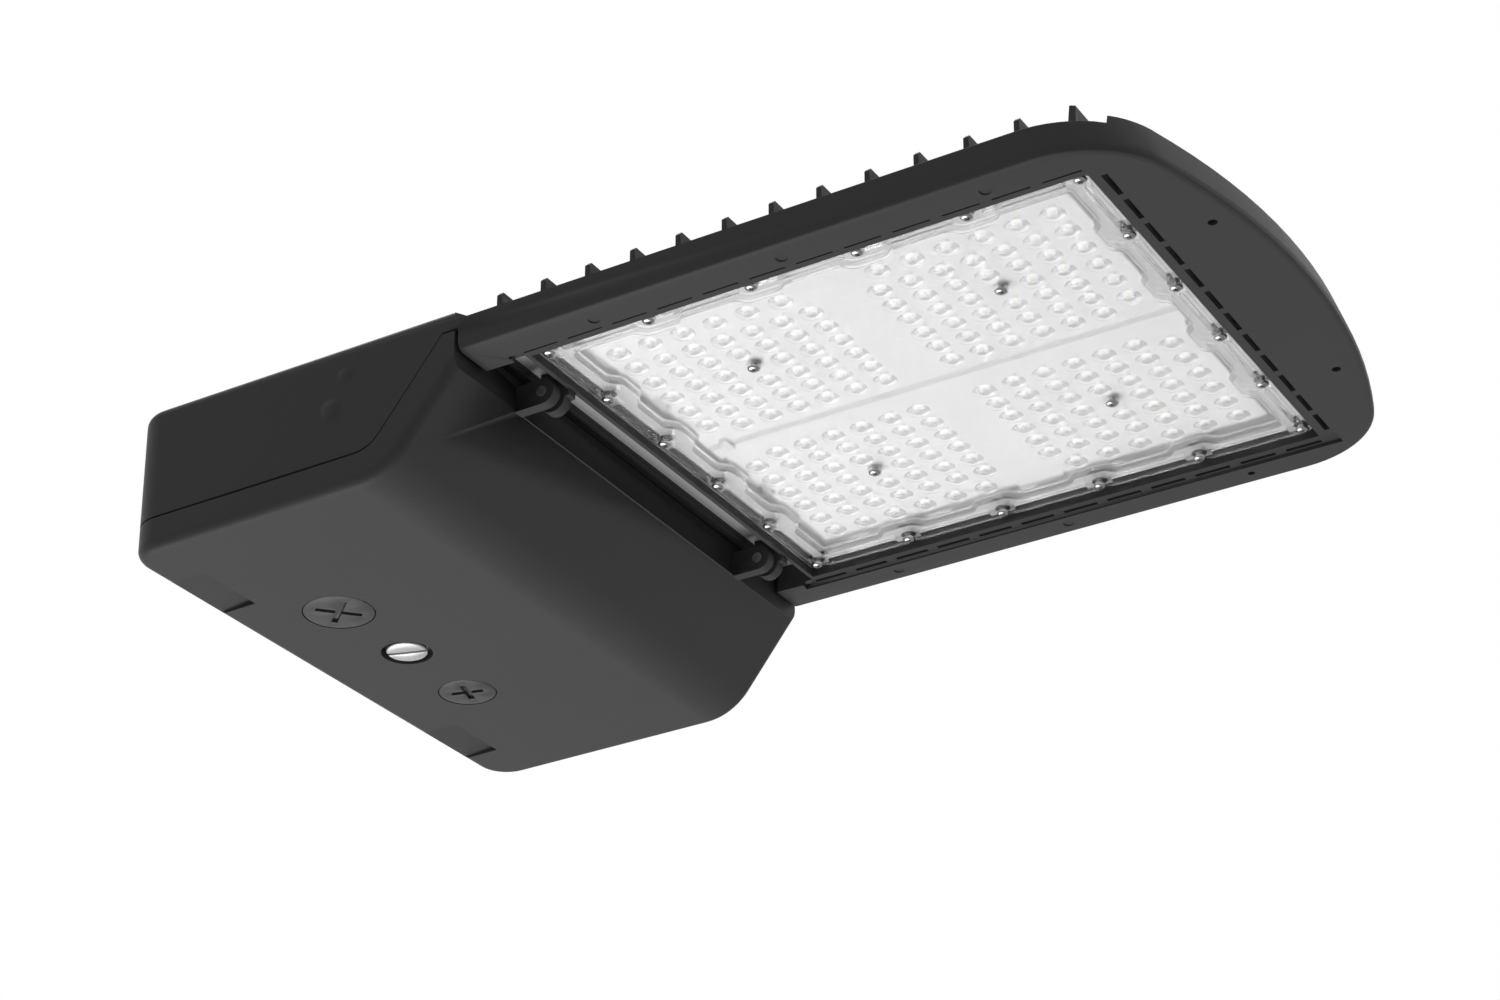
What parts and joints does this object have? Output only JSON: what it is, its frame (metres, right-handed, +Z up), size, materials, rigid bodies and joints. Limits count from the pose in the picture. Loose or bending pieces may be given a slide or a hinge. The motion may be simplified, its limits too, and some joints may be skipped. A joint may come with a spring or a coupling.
{
  "type": "shoebox area light",
  "caption": "Shoebox area light: dark cast housing with a flat finned head, clear optic plate over LED boards, and a hinged driver-box door with captive screw and threaded plugs",
  "frame": {"origin": "middle of the rear mounting face, level with the two mounting bolts", "axes": "+X runs forward from the mounting face to the front tip of the head, +Z is up, the lens and the driver door face -Z, and the XZ plane is the middle plane"},
  "size_m": [0.5062, 0.2942, 0.0752],
  "materials": {
    "powder_coat": "die-cast aluminium with a dark charcoal satin powder coat",
    "gasket_rubber": "matt black rubber",
    "stainless": "plain stainless steel, satin",
    "nylon": "natural nylon",
    "dark_plastic": "dark grey moulded plastic, satin",
    "clear_lens": "clear moulded optic plate",
    "silicone": "grey silicone rubber",
    "screw_steel": "bright zinc-plated steel",
    "white_board": "aluminium-core circuit board with white solder mask",
    "led_package": "white package with yellow phosphor",
    "white_plastic": "white moulded plastic",
    "driver_metal": "plain aluminium extrusion, filled with potting",
    "black_plastic": "black moulded plastic",
    "terminal_plastic": "ivory moulded plastic",
    "green_screw": "green-coated steel",
    "mains_lead": "insulated stranded wire, black and white",
    "surge_lead": "insulated stranded wire, black, white and green",
    "green_lead": "insulated stranded wire, green",
    "led_lead": "insulated stranded wire, white"
  },
  "bodies": {
    "fixture": {"housing": "powder_coat", "hinge_pins": "stainless", "lens": "clear_lens", "lens_gasket": "silicone", "lens_screws": "screw_steel", "module_screws": "screw_steel", "led_board_right": "white_board", "led_board_left": "white_board", "leds_right": "led_package", "leds_left": "led_package", "board_jumper": "white_plastic", "driver_case": "driver_metal", "driver_end_caps": "black_plastic", "driver_screws": "screw_steel", "terminal_block": "terminal_plastic", "terminal_block_screw": "screw_steel", "surge_protector": "black_plastic", "surge_protector_screw": "screw_steel", "ground_screw": "green_screw", "input_leads": "mains_lead", "surge_leads": "surge_lead", "ground_lead": "green_lead", "led_leads": "led_lead", "wireway_seal": "silicone", "wire_bushing": "gasket_rubber"},
    "door": {"driver_door": "powder_coat", "door_gasket": "gasket_rubber"},
    "captive_washer_body": {"captive_washer": "nylon"},
    "captive_screw_body": {"captive_screw": "stainless"},
    "large_ring_body": {"large_plug_oring": "gasket_rubber"},
    "large_plug_body": {"large_plug": "dark_plastic"},
    "small_ring_body": {"small_plug_oring": "gasket_rubber"},
    "small_plug_body": {"small_plug": "dark_plastic"}
  },
  "joints": [
    {"name": "door_hinge", "type": "hinge", "parent": "fixture", "child": "door", "pos_m": [0.189, 0, 0.0055], "axis": [0, -1, 0], "range_deg": [0, 100]},
    {"name": "captive_screw_travel", "type": "slide", "parent": "door", "child": "captive_washer_body", "axis": [0, 0, -1], "range_m": [0, 0.0075]},
    {"name": "captive_screw_turn", "type": "hinge", "parent": "captive_washer_body", "child": "captive_screw_body", "pos_m": [0.0484, 0, -0.03], "axis": [0, 0, -1], "range_deg": [0, 2160]},
    {"name": "large_plug_travel", "type": "slide", "parent": "door", "child": "large_ring_body", "axis": [0, 0, -1], "range_m": [0, 0.01088]},
    {"name": "large_plug_turn", "type": "hinge", "parent": "large_ring_body", "child": "large_plug_body", "pos_m": [0.0472, -0.0514, -0.04], "axis": [0, 0, -1], "range_deg": [0, 2160]},
    {"name": "small_plug_travel", "type": "slide", "parent": "door", "child": "small_ring_body", "axis": [0, 0, -1], "range_m": [0, 0.01088]},
    {"name": "small_plug_turn", "type": "hinge", "parent": "small_ring_body", "child": "small_plug_body", "pos_m": [0.0472, 0.0514, -0.04], "axis": [0, 0, -1], "range_deg": [0, 2160]}
  ],
  "couplings": [
    {"joint": "captive_screw_turn", "follows": "captive_screw_travel", "rad_per_m": 5026.5},
    {"joint": "large_plug_turn", "follows": "large_plug_travel", "rad_per_m": 3463.7},
    {"joint": "small_plug_turn", "follows": "small_plug_travel", "rad_per_m": 3463.7}
  ]
}
